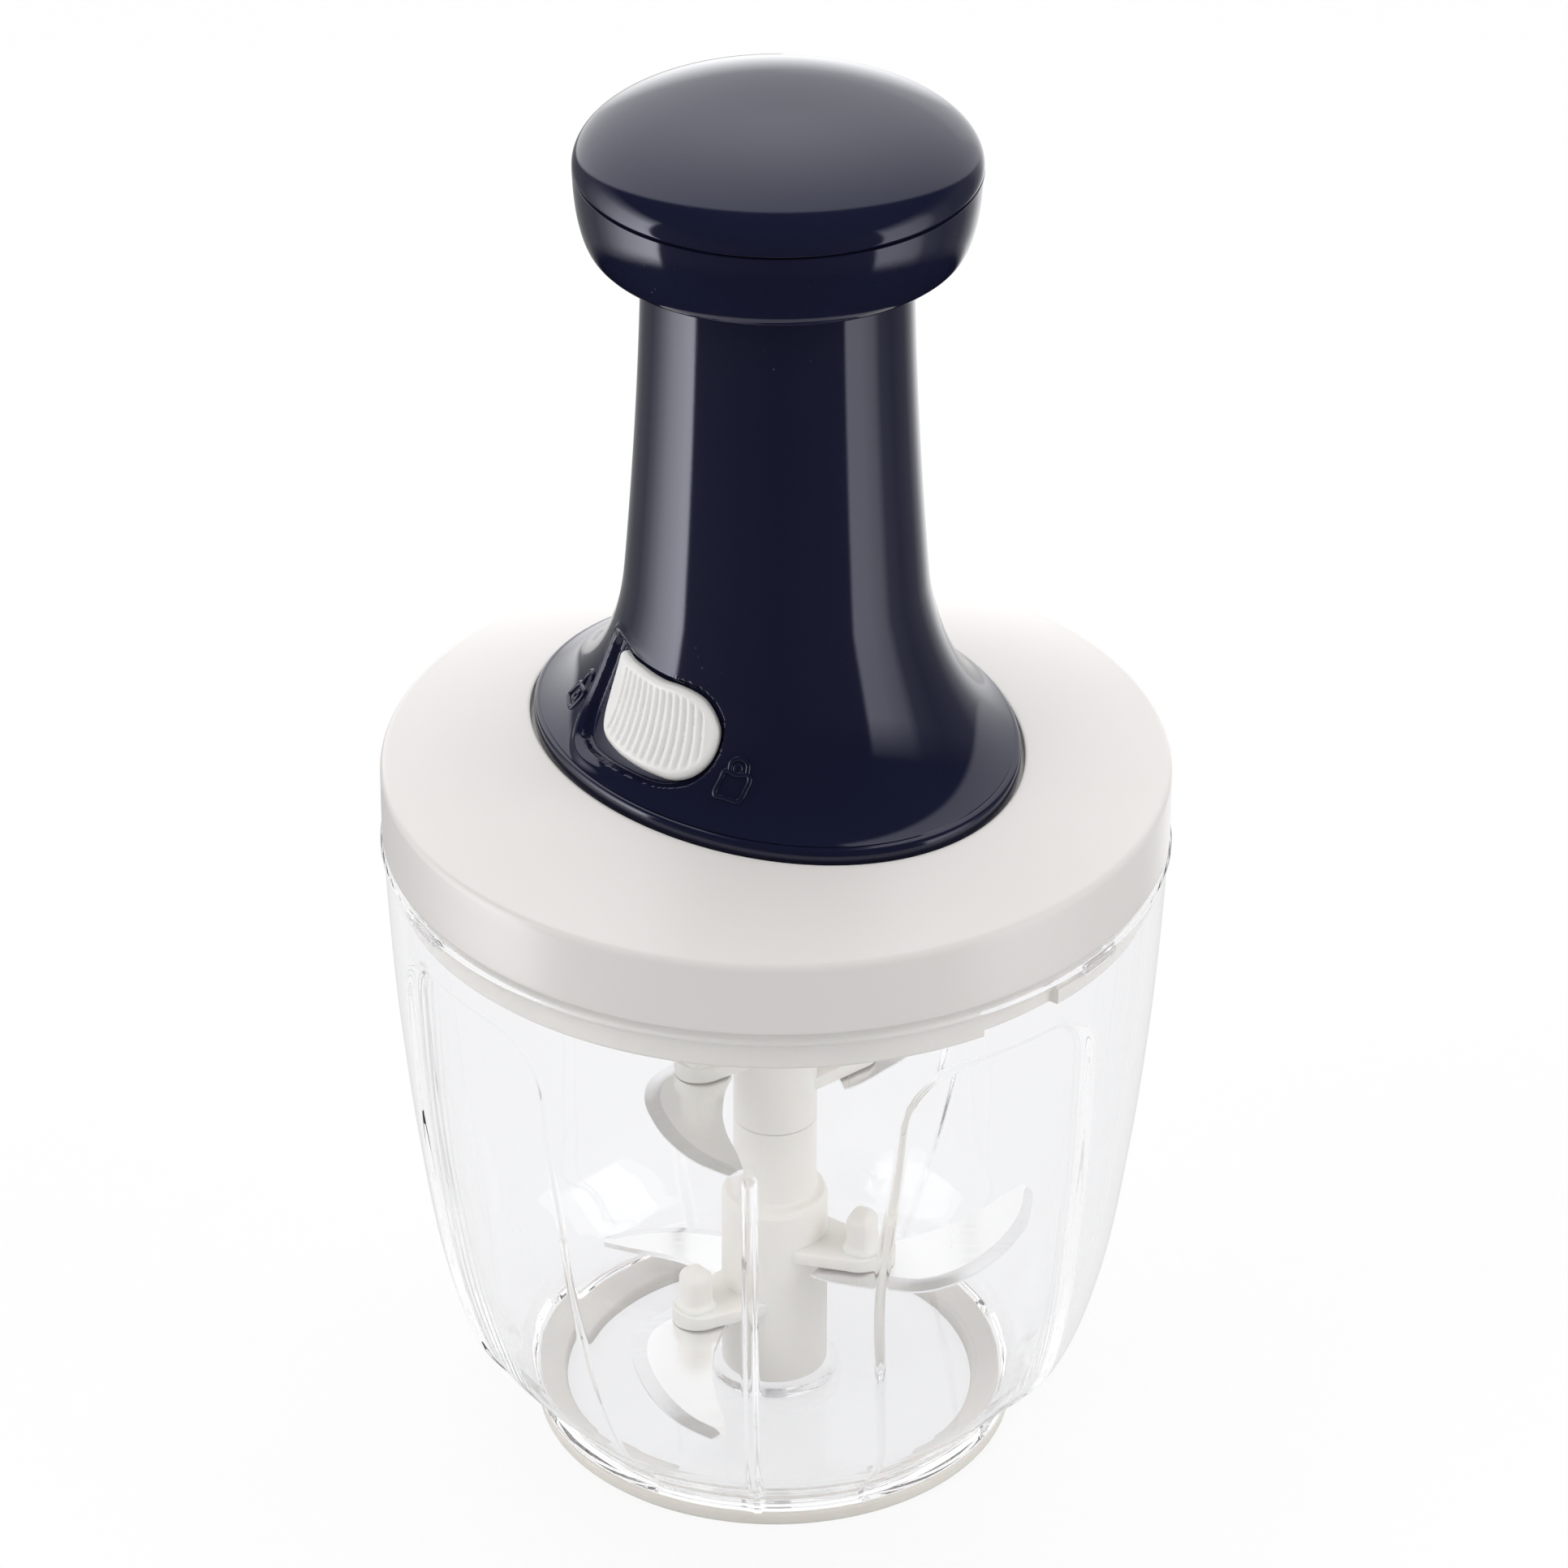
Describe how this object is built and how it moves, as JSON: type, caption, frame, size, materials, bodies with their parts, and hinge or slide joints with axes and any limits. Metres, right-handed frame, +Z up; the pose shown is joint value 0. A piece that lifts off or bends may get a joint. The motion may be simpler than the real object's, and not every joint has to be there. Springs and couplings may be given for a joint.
{
  "type": "plunger food chopper",
  "caption": "Hand food chopper with a clear bowl, a bayonet lid and a push handle whose plunger spins a stack of sickle blades.",
  "frame": {"origin": "middle of the base, on the surface that the chopper stands on", "axes": "+Z up along the axis of bowl, blades and plunger; -Y towards the viewer, with the lock slider at the front left"},
  "size_m": [0.132, 0.132, 0.2478],
  "materials": {
    "clear_bowl": "clear polished plastic",
    "cream_ring": "matt silicone",
    "white_silicone": "matt silicone",
    "navy_gloss": "high gloss moulded plastic",
    "white_gloss": "gloss moulded plastic",
    "white_hub": "satin moulded plastic",
    "blade_steel": "satin stainless steel",
    "bright_steel": "bright steel",
    "acetal": "natural acetal"
  },
  "bodies": {
    "bowl": {"bowl": "clear_bowl", "anti_slip_ring": "cream_ring", "blade_pivot_pin": "bright_steel"},
    "lid": {"lid_base": "white_gloss", "lid_gasket": "white_silicone", "lid_cover": "white_gloss", "bearing_bush": "acetal", "clutch_housing": "acetal", "thrust_washer": "bright_steel", "column": "navy_gloss", "guide_bush": "acetal", "main_spring": "bright_steel", "clutch_spring": "bright_steel", "base_screw_1": "bright_steel", "base_screw_2": "bright_steel", "base_screw_3": "bright_steel", "base_screw_4": "bright_steel", "housing_screw_1": "bright_steel", "housing_screw_2": "bright_steel", "housing_screw_3": "bright_steel", "column_screw_1": "bright_steel", "column_screw_2": "bright_steel", "column_screw_3": "bright_steel", "column_screw_4": "bright_steel"},
    "plunger": {"plunger_tube": "acetal", "nut_tube": "acetal", "drive_nut": "acetal", "knob_cup": "navy_gloss", "knob_cap": "navy_gloss", "knob_screw_1": "bright_steel", "knob_screw_2": "bright_steel", "knob_screw_3": "bright_steel"},
    "spindle": {"spiral_spindle": "bright_steel", "clutch_driver": "acetal"},
    "blades": {"drive_coupler": "acetal", "blade_shaft": "bright_steel", "lower_blade_hub": "white_hub", "upper_blade_hub": "white_hub", "lower_blade_1": "blade_steel", "lower_blade_2": "blade_steel", "lower_blade_3": "blade_steel", "upper_blade_1": "blade_steel", "upper_blade_2": "blade_steel"},
    "lock": {"lock_slider": "white_gloss", "lock_bolt": "acetal"}
  },
  "joints": [
    {"name": "lid_twist", "type": "hinge", "parent": "bowl", "child": "lid", "pos_m": [0, 0, 0.1169], "axis": [0, 0, 1], "range_deg": [0, 18]},
    {"name": "plunger_slide", "type": "slide", "parent": "lid", "child": "plunger", "axis": [0, 0, 1], "range_m": [0, 0.05], "deforming": ["main_spring"]},
    {"name": "spindle_spin", "type": "hinge", "parent": "lid", "child": "spindle", "pos_m": [0, 0, 0.1338], "axis": [0, 0, 1], "range_deg": [0, 601]},
    {"name": "blade_spin", "type": "hinge", "parent": "lid", "child": "blades", "pos_m": [0, 0, 0.1213], "axis": [0, 0, 1], "range_deg": [0, 601]},
    {"name": "lock_slide", "type": "hinge", "parent": "lid", "child": "lock", "pos_m": [0, 0, 0.1485], "axis": [0, 0, 1], "range_deg": [-8, 0]}
  ],
  "couplings": [
    {"joint": "spindle_spin", "follows": "plunger_slide", "rad_per_m": 209.44},
    {"joint": "blade_spin", "follows": "plunger_slide", "rad_per_m": 209.44}
  ]
}
